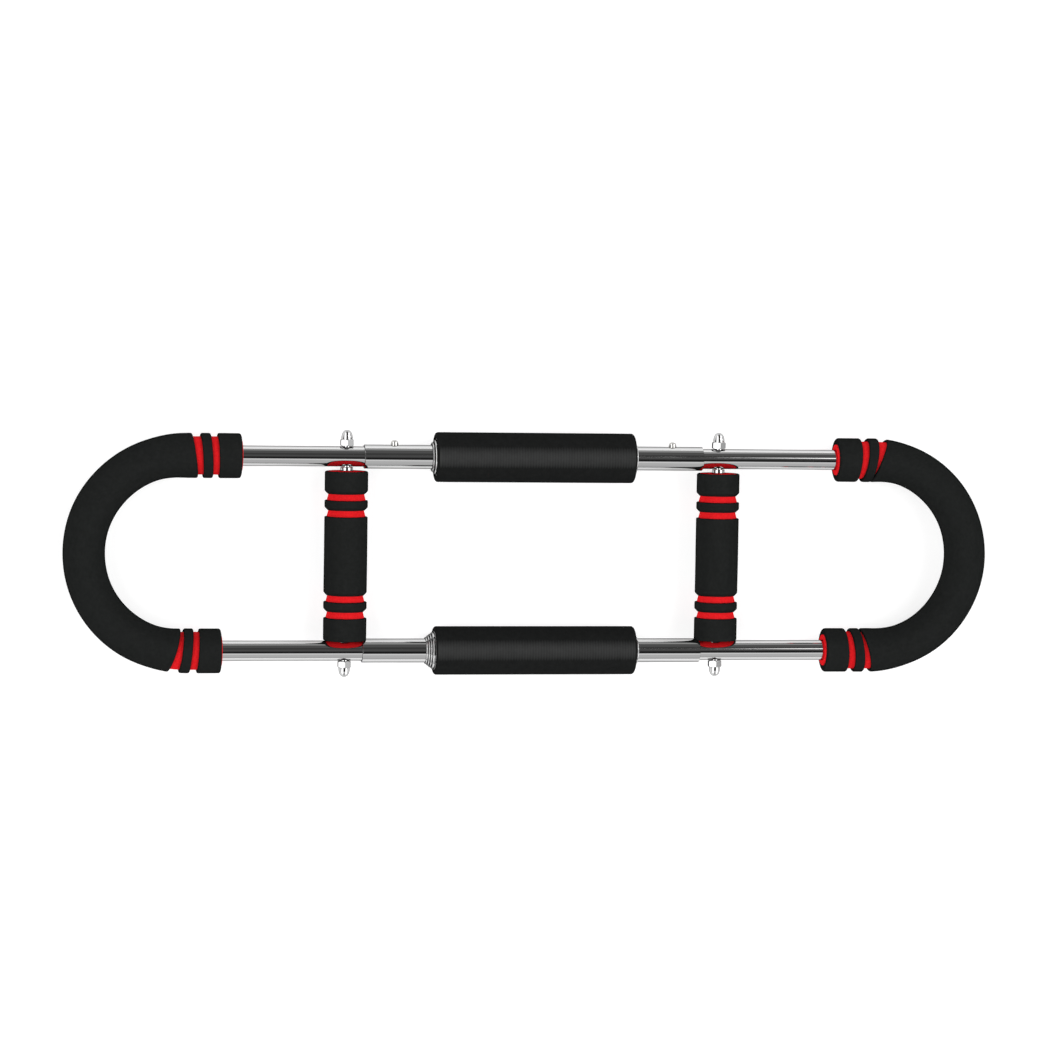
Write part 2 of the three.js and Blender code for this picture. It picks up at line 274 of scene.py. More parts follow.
def centre_along_handle(way):
    """The nearest points of a U tube's centre line."""

    def centre_of(points):
        x = points[:, X] * way - bend_centre
        y = points[:, Y]
        turn = np.arctan2(y, np.maximum(x, 0))
        on_leg = x < 0
        cx = np.where(on_leg, x, axis_y * np.cos(turn))
        cy = np.where(on_leg, np.sign(y) * axis_y, axis_y * np.sin(turn))
        return np.stack([way * (cx + bend_centre), cy, np.full(len(points), axis_z)], 1)

    return centre_of


def smooth(t):
    t = np.clip(t, 0, 1)
    return t * t * (3 - 2 * t)


# ---------------------------------------------------------------- materials
class Finish:
    """A material with one Principled surface, and the procedural textures that break it up."""

    def __init__(self, name, color, metallic, roughness, **more):
        self.material = bpy.data.materials.new(name)
        self.material.use_nodes = True
        self.nodes = self.material.node_tree.nodes
        self.links = self.material.node_tree.links
        self.surface = self.nodes["Principled BSDF"]
        self.surface.inputs["Base Color"].default_value = (*color, 1)
        self.surface.inputs["Metallic"].default_value = metallic
        self.surface.inputs["Roughness"].default_value = roughness
        for socket, value in more.items():
            self.surface.inputs[socket.replace("_", " ")].default_value = value
        self.place = self.nodes.new("ShaderNodeTexCoord").outputs["Object"]
        self.last_bump = None

    def stretched(self, scale):
        mapping = self.nodes.new("ShaderNodeMapping")
        mapping.inputs["Scale"].default_value = scale
        self.links.new(self.place, mapping.inputs["Vector"])
        return mapping.outputs["Vector"]

    def noise(self, size, detail=3, roughness=0.55, stretch=(1, 1, 1)):
        """Noise whose blobs are about one size, in metres."""
        texture = self.nodes.new("ShaderNodeTexNoise")
        texture.inputs["Scale"].default_value = 1 / size
        texture.inputs["Detail"].default_value = detail
        texture.inputs["Roughness"].default_value = roughness
        self.links.new(self.stretched(stretch), texture.inputs["Vector"])
        return texture.outputs["Fac"]

    def cells(self, size):
        """Cells of about one size, as distances from their middles."""
        texture = self.nodes.new("ShaderNodeTexVoronoi")
        texture.inputs["Scale"].default_value = 1 / size
        self.links.new(self.stretched((1, 1, 1)), texture.inputs["Vector"])
        return texture.outputs["Distance"]

    def ranged(self, texture, from_lo, from_hi, lo, hi):
        spread = self.nodes.new("ShaderNodeMapRange")
        spread.inputs["From Min"].default_value = from_lo
        spread.inputs["From Max"].default_value = from_hi
        spread.inputs["To Min"].default_value = lo
        spread.inputs["To Max"].default_value = hi
        self.links.new(texture, spread.inputs["Value"])
        return spread.outputs["Result"]

    def vary(self, socket, texture, lo, hi, from_lo=0.3, from_hi=0.7):
        self.links.new(self.ranged(texture, from_lo, from_hi, lo, hi), self.surface.inputs[socket])
        return self

    def gloss(self, level, narrowness):
        """Gloss that is strongest where the surface faces the viewer and fades towards its edges."""
        weight = self.nodes.new("ShaderNodeLayerWeight")
        weight.inputs["Blend"].default_value = 0.5
        fading = self.ranged(weight.outputs["Facing"], 0, narrowness, level, 0)
        self.links.new(fading, self.surface.inputs["Specular IOR Level"])
        return self

    def tint(self, texture, dark, light, from_lo=0.3, from_hi=0.7):
        """Base colour from dark to light, by a texture."""
        ramp = self.nodes.new("ShaderNodeValToRGB")
        ramp.color_ramp.elements[0].position = from_lo
        ramp.color_ramp.elements[0].color = (*dark, 1)
        ramp.color_ramp.elements[1].position = from_hi
        ramp.color_ramp.elements[1].color = (*light, 1)
        self.links.new(texture, ramp.inputs["Fac"])
        self.links.new(ramp.outputs["Color"], self.surface.inputs["Base Color"])
        return self

    def bump(self, texture, height, strength=1.0):
        """Raises the surface by up to a height in metres."""
        node = self.nodes.new("ShaderNodeBump")
        node.inputs["Distance"].default_value = height
        node.inputs["Strength"].default_value = strength
        self.links.new(texture, node.inputs["Height"])
        if self.last_bump:
            self.links.new(self.last_bump, node.inputs["Normal"])
        self.last_bump = node.outputs["Normal"]
        self.links.new(self.last_bump, self.surface.inputs["Normal"])
        return self


def chrome_finish():
    """Bright plating over drawn tube: faint lines along it, and smudges from hands."""
    chrome = Finish("chrome", (0.62, 0.62, 0.62), 1, 0.05, Specular_Tint=(0.1, 0.1, 0.1, 1))
    smudges = chrome.noise(22 * mm, detail=4)
    chrome.vary("Roughness", smudges, 0.035, 0.085)
    lines = chrome.noise(0.6 * mm, detail=2, stretch=(0.02, 1, 1))
    chrome.bump(lines, 0.004 * mm, 0.35)
    waves = chrome.noise(14 * mm, detail=1, stretch=(0.4, 1, 1))
    chrome.bump(waves, 0.02 * mm, 0.5)
    return chrome.material


def fitting_finish():
    """Bright plating on small turned pieces, with fine lines round them."""
    plating = Finish("plated_fitting", (0.55, 0.55, 0.55), 1, 0.07, Specular_Tint=(0.1, 0.1, 0.1, 1))
    plating.vary("Roughness", plating.noise(3 * mm, detail=4), 0.05, 0.12)
    plating.bump(plating.noise(0.5 * mm, detail=3), 0.006 * mm, 0.3)
    return plating.material


def black_foam_finish():
    """Closed-cell foam with a fine skin: tiny pits, a soft mottle, and no shine."""
    foam = Finish("black_foam", (0.0070, 0.0077, 0.0074), 0, 0.82)
    foam.gloss(0.10, 0.7)
    mottle = foam.noise(2.6 * mm, detail=5, roughness=0.65)
    foam.tint(mottle, (0.0058, 0.0065, 0.0062), (0.0086, 0.0094, 0.0091))
    foam.vary("Roughness", foam.noise(5 * mm, detail=3), 0.74, 0.9)
    foam.bump(foam.cells(0.42 * mm), 0.06 * mm, 0.5)
    foam.bump(foam.noise(1.6 * mm, detail=4), 0.07 * mm, 0.4)
    return foam.material


def red_foam_finish():
    """The core, cut open in the grooves: open cells that are darker in their middles."""
    foam = Finish("red_foam", (0.62, 0.007, 0.010), 0, 0.78)
    foam.gloss(0.1, 0.8)
    foam.tint(foam.noise(1.2 * mm, detail=5, roughness=0.7), (0.52, 0.005, 0.008), (0.70, 0.010, 0.014))
    foam.vary("Roughness", foam.noise(3 * mm), 0.7, 0.88)
    foam.bump(foam.cells(0.35 * mm), 0.08 * mm, 0.6)
    foam.bump(foam.noise(1.1 * mm, detail=4), 0.08 * mm, 0.4)
    return foam.material


def pad_finish():
    """Satin rubber foam over the springs, a little shinier than the handles."""
    pad = Finish("pad_foam", (0.0062, 0.0066, 0.0066), 0, 0.46)
    pad.gloss(0.40, 0.11)
    mottle = pad.noise(4 * mm, detail=5, roughness=0.65)
    pad.tint(mottle, (0.0080, 0.0084, 0.0083), (0.0110, 0.0114, 0.0113))
    pad.vary("Roughness", pad.noise(7 * mm, detail=4), 0.40, 0.52)
    pad.bump(pad.cells(0.5 * mm), 0.035 * mm, 0.35)
    pad.bump(pad.noise(1.8 * mm, detail=4), 0.05 * mm, 0.35)
    return pad.material


def spring_finish():
    """Oil-tempered wire: dark grey with drawing lines and a bluish bloom."""
    steel = Finish("spring_steel", (0.16, 0.165, 0.17), 1, 0.4)
    steel.tint(steel.noise(5 * mm, detail=4), (0.11, 0.115, 0.125), (0.22, 0.22, 0.215))
    steel.vary("Roughness", steel.noise(2 * mm, detail=4), 0.32, 0.5)
    steel.bump(steel.noise(0.4 * mm, detail=3), 0.01 * mm, 0.4)
    return steel.material


def button_finish():
    """Zinc-plated steel, worn a little smoother at the tip."""
    zinc = Finish("button_steel", (0.60, 0.59, 0.57), 1, 0.12, Specular_Tint=(0.05, 0.05, 0.05, 1))
    zinc.vary("Roughness", zinc.noise(1.5 * mm, detail=4), 0.08, 0.2)
    zinc.bump(zinc.noise(0.3 * mm, detail=3), 0.006 * mm, 0.3)
    return zinc.material


finishes = {
    "chrome": chrome_finish(),
    "fitting": fitting_finish(),
    "black_foam": black_foam_finish(),
    "red_foam": red_foam_finish(),
    "pad_foam": pad_finish(),
    "spring_steel": spring_finish(),
    "button_steel": button_finish(),
}


def finished(obj, finish, nodes, body=None):
    """Gives a piece its material, hides the CAD nodes it stands for, and hangs it on the body it rides on
    when one is given.
    """
    obj.data.materials.append(finishes[finish])
    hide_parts(*nodes)
    if body:
        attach(obj, body)
    return obj


# ---------------------------------------------------------------- U tubes, sleeves and collars
def ring_outline(lo, hi, bore, radius, rounding, step=4 * mm):
    corners = [(lo, bore, 0), (lo, radius, rounding), (hi, radius, rounding), (hi, bore, 0)]
    return filled(rounded(corners, 3), step)


def hole_at(x, line, lo, hi, radius):
    return turned("hole", [(lo, 0), (lo, radius), (hi, radius), (hi, 0)], line(x), facets=48)


flange_radii = {"upper": 13.7 * mm, "lower": 14.6 * mm}  # where they show outside the pads
beads = {"upper": 1, "lower": 3}


def collar_ring(name, row, line):
    """A flange in the pad's mouth, and beads that step down from it to the sleeve. A deep groove parts
    each from the next."""
    pitch = (collar_to - collar_from) / 6  # from bead to bead, with half of the collar left to its flange
    groove_width = 0.6 * mm
    groove_depth = 1.3 * mm
    flange_to = collar_to - 3 * pitch
    shown_from = flange_to - 2 * mm
    rise = (flange_radii[row] - sleeve_radius) / (beads[row] + 1)
    corners = [
        (collar_from, sleeve_radius + slip, 0),
        (collar_from, collar_radius, 0.5 * mm),
        (shown_from, collar_radius, 0.5 * mm),
        (shown_from, flange_radii[row], 0),
        (flange_to, flange_radii[row], 0.8 * mm),
    ]
    for i in range(1, beads[row] + 1):
        radius = flange_radii[row] - i * rise
        start = flange_to + (i - 1) * pitch
        floor = max(radius - groove_depth, sleeve_radius + slip + touch)
        corners += [(start, floor, 0), (start + groove_width, floor, 0)]
        corners += [(start + groove_width, radius, 0.4 * mm), (start + pitch, radius, 0.45 * mm)]
    corners.append((flange_to + beads[row] * pitch, sleeve_radius + slip, 0))
    return turned(name, filled(rounded(corners, 5), 1 * mm), line, facets=96, sharp=60)


for side, way in ways.items():
    leg_end = bend_half + bend_centre - tube_from
    outline = ring_outline(-leg_end, leg_end, tube_bore, tube_radius, 0.25 * mm)
    tube = turned(f"{side}_u_tube_plated", outline, along_handle(way), facets=80)
    across = axis_y + 2 * tube_radius
    stud_hole = hole_at(way * grip_x, along_y, -across, across, stud_radius + slip)
    snap_hole = hole_at(way * button_x, along_y, axis_y, across, button_hole)
    shade_as_tube(drilled(tube, [stud_hole, snap_hole]), centre_along_handle(way))
    finished(tube, "chrome", [f"{side}_u_tube"], f"{side}_arm")

    for row, up in rows.items():
        y = up * axis_y
        outline = ring_outline(sleeve_from, sleeve_to, sleeve_bore, sleeve_radius, 0.35 * mm)
        sleeve = turned(f"{side}_{row}_sleeve_plated", outline, along_x(y, way), facets=96)
        if row == "upper":
            drilled(sleeve, [hole_at(way * button_x, along_y, axis_y, across, button_hole)])
        shade_as_tube(sleeve, centre_along_x(y))
        finished(sleeve, "chrome", [f"{side}_{row}_sleeve"], f"{side}_arm")

        collar = collar_ring(f"{side}_{row}_collar_plated", row, along_x(y, way))
        finished(collar, "fitting", [f"{side}_{row}_collar"], f"{side}_arm")


# ---------------------------------------------------------------- spindles, nuts and snap buttons
def hex_radius(facets):
    """The distance to a hexagon's side at each facet, with two of its corners up and down."""
    angle = facet_angles(facets)
    sixth = math.pi / 3
    return nut_flat / np.cos((angle + sixth / 2) % sixth - sixth / 2)


def acorn_nut(name, line):
    """A domed cap nut: a hexagon with chamfered corners, and a bullet-shaped cap on it."""
    facets = 96
    hexagon = hex_radius(facets)
    hex_height = 5.2 * mm
    chamfer = 0.95 * nut_flat  # the radius of the hexagon's two faces
    chamfer_height = 0.9 * mm
    slope = 1.6
    bore_end = nut_base + stud_in_nut + slip
    outline = [(bore_end, 0), (bore_end, stud_radius + slip), (nut_base, stud_radius + slip)]
    levels = 9
    for i in range(levels + 1):
        height = chamfer_height * i / levels
        outline.append((nut_base + height, np.minimum(hexagon, chamfer + slope * height)))
    for i in range(levels, -1, -1):
        height = chamfer_height * i / levels
        outline.append((nut_base + hex_height - height, np.minimum(hexagon, chamfer + slope * height)))
    cap_radius = 4.5 * mm
    cap_from = nut_base + hex_height
    fillet = 0.15 * mm
    outline.append((cap_from, cap_radius + fillet))
    bluntness = 2.4
    steps = 18
    for i in range(steps):
        t = math.sin(i / steps * math.pi / 2)
        radius = cap_radius * (1 - t ** bluntness) ** (1 / bluntness)
        outline.append((cap_from + fillet + t * (nut_top - cap_from - fillet), radius))
    outline.append((nut_top, 0))
    return turned(name, outline, line, facets=facets, sharp=28)


def snap_button(name, line):
    """A domed pin on a wider foot."""
    foot_height = 1 * mm
    foot_radius = button_radius + 0.6 * mm
    foot_to = button_foot + foot_height
    straight_part = 0.3 * mm  # of the pin, outside the sleeve
    ring_step = 0.8 * mm
    outline = [(button_foot, 0), (button_foot, foot_radius)]
    outline += [(foot_to, foot_radius), (foot_to, button_radius)]
    dome_from = axis_y + sleeve_radius + straight_part
    outline += filled([(foot_to, button_radius), (dome_from, button_radius)], ring_step, closed=False)[1:]
    bluntness = 2.7
    steps = 16
    for i in range(1, steps):
        t = math.sin(i / steps * math.pi / 2)
        radius = button_radius * (1 - t ** bluntness) ** (1 / bluntness)
        outline.append((dome_from + t * (button_top - dome_from), radius))
    outline.append((button_top, 0))
    return turned(name, outline, line, facets=64)


def leaf_spring(name, node, way):
    """A hairpin of strip inside the U tube. Its bend faces the springs, and its +Y arm carries the
    button."""
    near, far = sorted(way * place for place in span(node, X))
    low, high = span(node, Z)
    half = leaf_thickness / 2
    reach = half_size(node, Y) - half
    bend_x = near + half_size(node, Y)
    arm_places = 12
    bend_places = 25
    path = [((x, -reach), (0, -1)) for x in np.linspace(far, bend_x, arm_places)]
    for turn in np.linspace(-math.pi / 2, -1.5 * math.pi, bend_places)[1:-1]:
        out = (math.cos(turn), math.sin(turn))
        path.append(((bend_x + reach * out[0], reach * out[1]), out))
    path += [((x, reach), (0, 1)) for x in np.linspace(bend_x, far, arm_places)]
    points = []
    for (x, y), out in path:
        for aside, height in zip((-half, half, half, -half), (low, low, high, high)):
            points.append((way * (x + aside * out[0]), axis_y + y + aside * out[1], height))
    last = 4 * (len(path) - 1)
    faces = [(0, 1, 2, 3), (last + 3, last + 2, last + 1, last)]
    for start in range(0, last, 4):
        for j in range(4):
            k = (j + 1) % 4
            faces.append((start + j, start + 4 + j, start + 4 + k, start + k))
    return body_of_faces(name, points, faces)


for side, way in ways.items():
    x = way * grip_x
    stud_end = span(f"{side}_grip_spindle", Y)[1]
    shoulder = axis_y - tube_radius - slip
    edge = 0.4 * mm
    outline = [(-stud_end, 0), (-stud_end, stud_radius), (-shoulder, stud_radius)]
    outline += [(-shoulder, spindle_radius - edge), (-shoulder + edge, spindle_radius)]
    outline += [(shoulder - edge, spindle_radius), (shoulder, spindle_radius - edge)]
    outline += [(shoulder, stud_radius), (stud_end, stud_radius), (stud_end, 0)]
    outline = filled(outline, 3 * mm, closed=False)
    spindle = turned(f"{side}_grip_spindle_plated", outline, along_y(x), facets=64)
    finished(spindle, "fitting", [f"{side}_grip_spindle"], f"{side}_arm")
    for row, up in rows.items():
        nut = acorn_nut(f"{side}_{row}_acorn_nut_plated", along_y(x, up))
        finished(nut, "fitting", [f"{side}_{row}_acorn_nut"], f"{side}_arm")
    button = snap_button(f"{side}_snap_button_plated", along_y(way * button_x))
    finished(button, "button_steel", [f"{side}_snap_button"], f"{side}_button")
    node = f"{side}_button_leaf_spring"
    leaf = leaf_spring(f"{node}_strip", node, way)
    finished(leaf, "spring_steel", [node])
    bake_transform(leaf)


# ---------------------------------------------------------------- foam on the U bends
def unevenness(along, angle, seed):
    """Slow waves over a foam tube, from -1 to 1, as no moulded foam is quite even."""
    phases = np.random.default_rng(seed).uniform(0, 2 * math.pi, 4)
    total = np.sin(along / (9 * mm) + phases[0] + np.cos(angle))
    total = total + np.sin(along / (17 * mm) + 2 * angle + phases[1])
    total = total + np.sin(along / (31 * mm) - angle + phases[2])
    return (total + np.sin(3 * angle + along / (13 * mm) + phases[3])) / 4


def handle_foam_line(way, seed):
    """The handle's line for its foam, which is thinner where the bend stretches it."""
    line = along_handle(way)
    stretched_past = 6 * mm  # beyond the bend, on its legs
    fade = 34 * mm
    leg_growth = 1.055
    thinning = 0.125
    wave_height = 0.16 * mm

    def place(along, radius, angle):
        along, radius, angle = np.broadcast_arrays(along, radius, angle)
        on_bend = smooth((bend_half + stretched_past - np.abs(along)) / fade)
        growth = leg_growth - thinning * on_bend
        above = np.maximum(radius - foam_bore, 0)
        wave = wave_height * unevenness(along, angle, seed) * above / (foam_radius - foam_bore)
        return line(along, np.minimum(radius, foam_bore) + above * growth + wave, angle)

    return place


# How far the foam's cuts lean out of square at each leg, because the bend stretches the foam's outer side:
# the lean of the last cut, and the mean width of the groove beside it.
lean = {
    ("left", "upper"): 2.3 * mm,
    ("left", "lower"): 3.7 * mm,
    ("right", "upper"): 5.6 * mm,
    ("right", "lower"): 4.1 * mm,
}
last_groove = {
    ("left", "upper"): 5.3 * mm,
    ("left", "lower"): 4.7 * mm,
    ("right", "upper"): 3.1 * mm,
    ("right", "lower"): 3.7 * mm,
}
lean_shares = (0.22, 0.4, 0.45, 1)  # of the cuts in turn, from the end of the foam inwards
mouth = 12.4 * mm  # radius of the red that shows in the middle of a foam's end
mouth_depth = 3.5 * mm
swell = 0.8 * mm  # how far the red stands out of the end
foam_facets = 96
foam_ends = {"lower_end": "lower", "upper_end": "upper"}


def foam_end(side, row):
    """How far a foam's end is from the middle of the bend."""
    lo, hi = span(f"{side}_handle_foam_{row}_end", X)
    nearest = min(abs(lo), abs(hi))
    return bend_half + bend_centre - nearest


def foam_cuts(side, row):
    """The places of a leg's cuts, from the foam's end inwards, as distances from the bend's middle."""
    angle = facet_angles(foam_facets)
    end = foam_end(side, row)
    depths = [end_band, end_band + groove, end_band + groove + ring_band]
    depths.append(depths[-1] + last_groove[side, row])
    leans = [lean[side, row] * share for share in lean_shares]
    cuts = [end - depth - tilt * np.cos(angle) for depth, tilt in zip(depths, leans)]
    cuts[3] = np.minimum(cuts[3], cuts[2] - touch)
    return [np.full(foam_facets, end), *cuts]


def skin_corners(lo, hi, bore, lower, upper, end=None, mouth=mouth):
    """A black band. lower and upper are its corners at either edge. At an end of the foam its bore opens
    out into the mouth, which the red core fills."""
    corners = [*lower, *upper]
    if end == "upper":
        corners += [(hi, mouth, 0), (hi - mouth_depth, bore, 0)]
    else:
        corners.append((hi, bore, 0))
    if end == "lower":
        corners += [(lo + mouth_depth, bore, 0), (lo, mouth, 0)]
    else:
        corners.append((lo, bore, 0))
    return corners


def core_corners(lo, hi, bore, radius, swells, between=(), mouth=mouth):
    """A red core that fills the mouths at its two ends. swells are how far it stands out of them."""
    shown = mouth - touch
    edge = 0.6 * mm
    corners = [(lo - swells[0], bore, 0)]
    if swells[0]:
        corners.append((lo - swells[0], shown, edge))
    corners += [(lo, shown, 0), (lo + mouth_depth, radius, 0), *between]
    corners += [(hi - mouth_depth, radius, 0), (hi, shown, 0)]
    if swells[1]:
        corners.append((hi + swells[1], shown, edge))
    return [*corners, (hi + swells[1], bore, 0)]


def foam_body(name, corners, line, step=2.5 * mm):
    return turned(name, filled(rounded(corners, 5), step), line, facets=foam_facets, sharp=50)


for seed, (side, way) in enumerate(ways.items()):
    line = handle_foam_line(way, seed + 1)
    up = foam_cuts(side, "upper")
    down = [-place for place in foam_cuts(side, "lower")]
    core_radius = foam_radius - foam_skin - touch
    skin_bore = foam_radius - foam_skin
    soft = 1.5 * mm
    end_soft = 2.1 * mm
    bands = {
        "lower_end": (down[0], down[1], (end_soft, soft)),
        "lower_ring": (down[2], down[3], (soft, soft)),
        "middle": (down[4], up[4], (soft, soft)),
        "upper_ring": (up[3], up[2], (soft, soft)),
        "upper_end": (up[1], up[0], (soft, end_soft)),
    }
    for band, (lo, hi, roundings) in bands.items():
        node = f"{side}_handle_foam_{band}"
        end = foam_ends.get(band)
        lower = [(lo, foam_radius, roundings[0])]
        upper = [(hi, foam_radius, roundings[1])]
        skin = foam_body(f"{node}_skin", skin_corners(lo, hi, skin_bore, lower, upper, end), line)
        finished(skin, "black_foam", [node], f"{side}_arm")
    node = f"{side}_handle_foam_core"
    corners = core_corners(down[0], up[0], foam_bore, core_radius, (swell, swell))
    core = foam_body(f"{node}_red", corners, line)
    finished(core, "red_foam", [node], f"{side}_arm")


# ---------------------------------------------------------------- foam on the cross handles
def grip_foam_line(way, seed):
    """A cross handle's line for its foam. The sleeve and the tube press into its -Y end."""
    line = along_y(way * grip_x)
    wave_height = 0.1 * mm
    fade = 1.5 * mm

    def place(along, radius, angle):
        along, radius, angle = np.broadcast_arrays(along, radius, angle)
        wave = wave_height * unevenness(along, angle, seed) * np.clip(radius / grip_radius, 0, 1)
        points = line(along, radius + np.where(radius > spindle_radius + 2 * slip, wave, 0), angle)
        for wall, reach in ((sleeve_radius, sleeve_to + slip), (tube_radius, bend_centre)):
            clear = wall + touch
            height = np.clip(np.abs(points[:, Z] - axis_z), 0, clear)
            floor = -axis_y + np.sqrt(clear ** 2 - height ** 2)
            beside = smooth((reach + fade - np.abs(points[:, X])) / fade)
            pressed = np.maximum(points[:, Y], floor)
            points[:, Y] += (pressed - points[:, Y]) * beside
        return points

    return place


def grip_bands(lo, hi):
    """The black bands of a cross handle's foam: {name: (from, to)}."""
    inner = end_band + groove
    main = inner + ring_band + groove
    return {
        "lower_end": (lo, lo + end_band),
        "lower_ring": (lo + inner, lo + inner + ring_band),
        "middle": (lo + main, hi - main),
        "upper_ring": (hi - inner - ring_band, hi - inner),
        "upper_end": (hi - end_band, hi),
    }


for seed, (side, way) in enumerate(ways.items()):
    line = grip_foam_line(way, seed + 11)
    bottom = -axis_y + tube_radius + touch
    bands = grip_bands(bottom, grip_top)
    skin_bore = grip_radius - foam_skin
    slope = 2.4 * mm
    grip_mouth = 15.4 * mm
    recess = 0.3 * mm  # how far the red lies inside the +Y end
    step = 2 * mm
    for band, (lo, hi) in bands.items():
        end = foam_ends.get(band)
        lower = [(lo, grip_radius - slope, 0), (lo + slope, grip_radius, 0.8 * mm)]
        if end == "lower":
            lower = [(lo, grip_radius, 1.4 * mm)]
        upper = [(hi, grip_radius, 1.6 * mm if end == "upper" else 0.8 * mm)]
        node = f"{side}_grip_foam_{band}"
        corners = skin_corners(lo, hi, skin_bore, lower, upper, end, grip_mouth)
        skin = foam_body(f"{node}_skin", corners, line, step)
        finished(skin, "black_foam", [node], f"{side}_arm")
    core_radius = skin_bore - touch
    ramps = []
    sill = 0.01 * mm
    for below, above in zip(list(bands), list(bands)[1:]):
        floor_lo = bands[below][1] + touch
        floor_hi = bands[above][0] - touch
        ramps += [(floor_lo - sill, core_radius, 0), (floor_lo, core_radius + 0.8 * mm, 0.3 * mm)]
        ramps += [(floor_hi, core_radius - 0.5 * mm, 0.3 * mm), (floor_hi + sill, core_radius, 0)]
    node = f"{side}_grip_foam_core"
    top = grip_top - recess
    corners = core_corners(bottom, top, spindle_radius + slip, core_radius, (0, 0), ramps, grip_mouth)
    core = foam_body(f"{node}_red", corners, line, step)
    finished(core, "red_foam", [node], f"{side}_arm")


# ---------------------------------------------------------------- springs and pads
pad_radii = {"upper": 19.85 * mm, "lower": 19.35 * mm}
pad_rounding = 2.2 * mm
spring_bodies = ["left_arm", "left_spring_outer", "left_spring_inner", "spring_middle"]
spring_bodies += ["right_spring_inner", "right_spring_outer", "right_arm"]
coil_nodes = ["left_arm", "left_outer", "left_inner", "middle", "right_inner", "right_outer", "right_arm"]


def pad_outline(row, lo, hi, first, last):
    """One stretch of a pad: fine ribs round it, and a rounded rim where the stretch ends the pad."""
    per_rib = 8
    count = round((hi - lo) / rib_pitch * per_rib)
    outline = [(lo, pad_bore)]
    for along in np.linspace(lo, hi, count + 1):
        radius = pad_radii[row] - rib_height * (1 - math.cos(2 * math.pi * along / rib_pitch)) / 2
        for is_end, from_end in ((first, along - lo), (last, hi - along)):
            if is_end and from_end < pad_rounding:
                radius -= pad_rounding - math.sqrt(pad_rounding ** 2 - (pad_rounding - from_end) ** 2)
        outline.append((along, radius))
    return [*outline, (hi, pad_bore)]


def coil(name, lo, hi, y):
    """A stretch of a spring's wire, wound round a line along X."""
    per_turn = 28
    wire_facets = 12
    steps = math.ceil((hi - lo) / spring_pitch * per_turn)
    along = np.linspace(lo, hi, steps + 1)
    angle = along / spring_pitch * 2 * math.pi
    out = np.stack([np.zeros_like(angle), np.cos(angle), np.sin(angle)], 1)
    round_it = np.stack([np.zeros_like(angle), -np.sin(angle), np.cos(angle)], 1)
    forward = round_it * coil_radius + np.array([spring_pitch / (2 * math.pi), 0, 0])
    forward /= np.linalg.norm(forward, axis=1)[:, None]
    side = np.cross(forward, out)
    centre = np.stack([along, y + coil_radius * np.cos(angle), axis_z + coil_radius * np.sin(angle)], 1)
    points = []
    for i in range(steps + 1):
        for j in range(wire_facets):
            a = j / wire_facets * 2 * math.pi
            points.append(centre[i] + wire_radius * (math.cos(a) * out[i] + math.sin(a) * side[i]))
    faces = [list(range(wire_facets)), list(range(steps * wire_facets, (steps + 1) * wire_facets))[::-1]]
    for i in range(steps):
        for j in range(wire_facets):
            k = (j + 1) % wire_facets
            here = i * wire_facets
            there = here + wire_facets
            faces.append([here + j, there + j, there + k, here + k])
    return body_of_faces(name, points, faces, 50)


stretch_names = ["left_end", "left_outer", "left_inner", "right_inner", "right_outer", "right_end"]
cuts = [i * hinge_gap for i in range(-2, 3)]
for row, up in rows.items():
    y = up * axis_y
    pad_lo, pad_hi = span(f"{row}_pad", X)
    coil_end = collar_from - slip - wire_radius
    for i, name in enumerate(stretch_names):
        first = i == 0
        last = i == len(stretch_names) - 1
        lo = pad_lo if first else cuts[i - 1]
        hi = pad_hi if last else cuts[i]
        outline = pad_outline(row, lo, hi, first, last)
        pad = turned(f"{row}_pad_{name}", outline, along_x(y), facets=72, sharp=50)
        finished(pad, "pad_foam", [f"{row}_pad"])
        wire_lo = -coil_end if first else lo
        wire_hi = coil_end if last else hi
        wire = coil(f"{row}_spring_{name}_wire", wire_lo, wire_hi, y)
        coils = [f"{row}_spring_{coil_nodes[i]}", f"{row}_spring_{coil_nodes[i + 1]}"]
        finished(wire, "spring_steel", coils)
        bend_from = (i - len(stretch_names) // 2) * hinge_gap
        end = (bend_from + hinge_gap, y, axis_z)
        for piece in (pad, wire):
            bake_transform(piece)


# ---------------------------------------------------------------- floor, light and camera
def make_floor():
    size = 12
    points = [(-size, -size, 0), (size, -size, 0), (size, size, 0), (-size, size, 0)]
    mesh = bpy.data.meshes.new("floor")
    mesh.from_pydata(points, [], [(0, 1, 2, 3)])
    floor = bpy.data.objects.new("floor", mesh)
    floor.location.z = -0.3 * mm
    bpy.context.scene.collection.objects.link(floor)
    paper = Finish("floor_paper", (0.5, 0.5, 0.5), 0, 0.9, Specular_IOR_Level=0.1)
    paper.tint(paper.noise(40 * mm, detail=2), (0.445, 0.445, 0.445), (0.455, 0.455, 0.455))
    paper.surface.inputs["Emission Color"].default_value = (1, 1, 1, 1)
    paper.surface.inputs["Emission Strength"].default_value = 0.67
    mesh.materials.append(paper.material)


